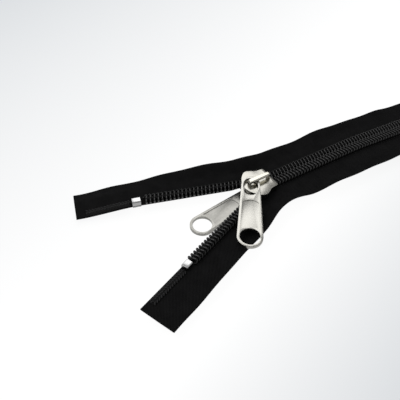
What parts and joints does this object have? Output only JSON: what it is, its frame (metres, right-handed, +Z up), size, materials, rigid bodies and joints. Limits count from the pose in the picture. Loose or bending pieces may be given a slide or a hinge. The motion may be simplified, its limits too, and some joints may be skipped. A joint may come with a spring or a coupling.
{
  "type": "zipper",
  "caption": "Coil zipper, partly open, with a double-faced metal slider, two flat pulls, crimped metal stops and plain woven tapes.",
  "frame": {"origin": "centre of the flat underside of the slider's back bridge, on the surface the zipper lies on", "axes": "+X along the closed chain from the slider to the bottom stop, +Y to the left tape seen with the coil side up, +Z up, away from the surface"},
  "size_m": [0.2601, 0.1025, 0.0131],
  "materials": {
    "tape": "matte woven polyester tape, black",
    "coil": "glossy nylon monofilament, black",
    "cord": "corded polyester, black",
    "thread": "sewing thread, black",
    "stops": "bright crimped metal",
    "slider": "satin nickel plate on die-cast zinc",
    "pulls": "satin nickel plate, brighter on the raised rims"
  },
  "bodies": {
    "chain": {"left_tape": "tape", "left_coil": "coil", "left_cord": "cord", "left_stitching": "thread", "left_tail_cord": "cord", "right_tape": "tape", "right_coil": "coil", "right_cord": "cord", "right_stitching": "thread", "right_tail_cord": "cord", "bottom_stop": "stops"},
    "slider": {"slider_body": "slider", "front_bridge": "slider", "back_bridge": "slider"},
    "front_pull": {"front_pull": "pulls"},
    "back_pull": {"back_pull": "pulls"},
    "left_leg": {"left_leg_tape": "tape", "left_leg_coil": "coil", "left_leg_cord": "cord", "left_leg_stitching": "thread", "left_leg_tail_cord": "cord", "left_top_stop": "stops"},
    "right_leg": {"right_leg_tape": "tape", "right_leg_coil": "coil", "right_leg_cord": "cord", "right_leg_stitching": "thread", "right_leg_tail_cord": "cord", "right_top_stop": "stops"}
  },
  "joints": [
    {"name": "slider_travel", "type": "slide", "parent": "chain", "child": "slider", "axis": [-1, 0, 0], "range_m": [0, 0.0525]},
    {"name": "left_leg_close", "type": "hinge", "parent": "chain", "child": "left_leg", "pos_m": [0.003, 0, 0.0055], "axis": [0, 0, 1], "range_deg": [0, 17.6], "deforming": ["left_leg_tape", "left_leg_coil", "left_leg_cord", "left_leg_stitching", "left_leg_tail_cord"]},
    {"name": "right_leg_close", "type": "hinge", "parent": "chain", "child": "right_leg", "pos_m": [0.003, 0, 0.0055], "axis": [0, 0, -1], "range_deg": [0, 21], "deforming": ["right_leg_tape", "right_leg_coil", "right_leg_cord", "right_leg_stitching", "right_leg_tail_cord"]},
    {"name": "front_pull_swing", "type": "hinge", "parent": "slider", "child": "front_pull", "pos_m": [-0.0013, 0, 0.0109], "axis": [0, 1, 0], "range_deg": [0, 140]},
    {"name": "back_pull_swing", "type": "hinge", "parent": "slider", "child": "back_pull", "pos_m": [0.0021, 0, 0.00215], "axis": [0, -1, 0], "range_deg": [0, 140]}
  ],
  "couplings": [
    {"joint": "left_leg_close", "follows": "slider_travel", "rad_per_m": 5.851},
    {"joint": "right_leg_close", "follows": "slider_travel", "rad_per_m": 6.9813}
  ]
}
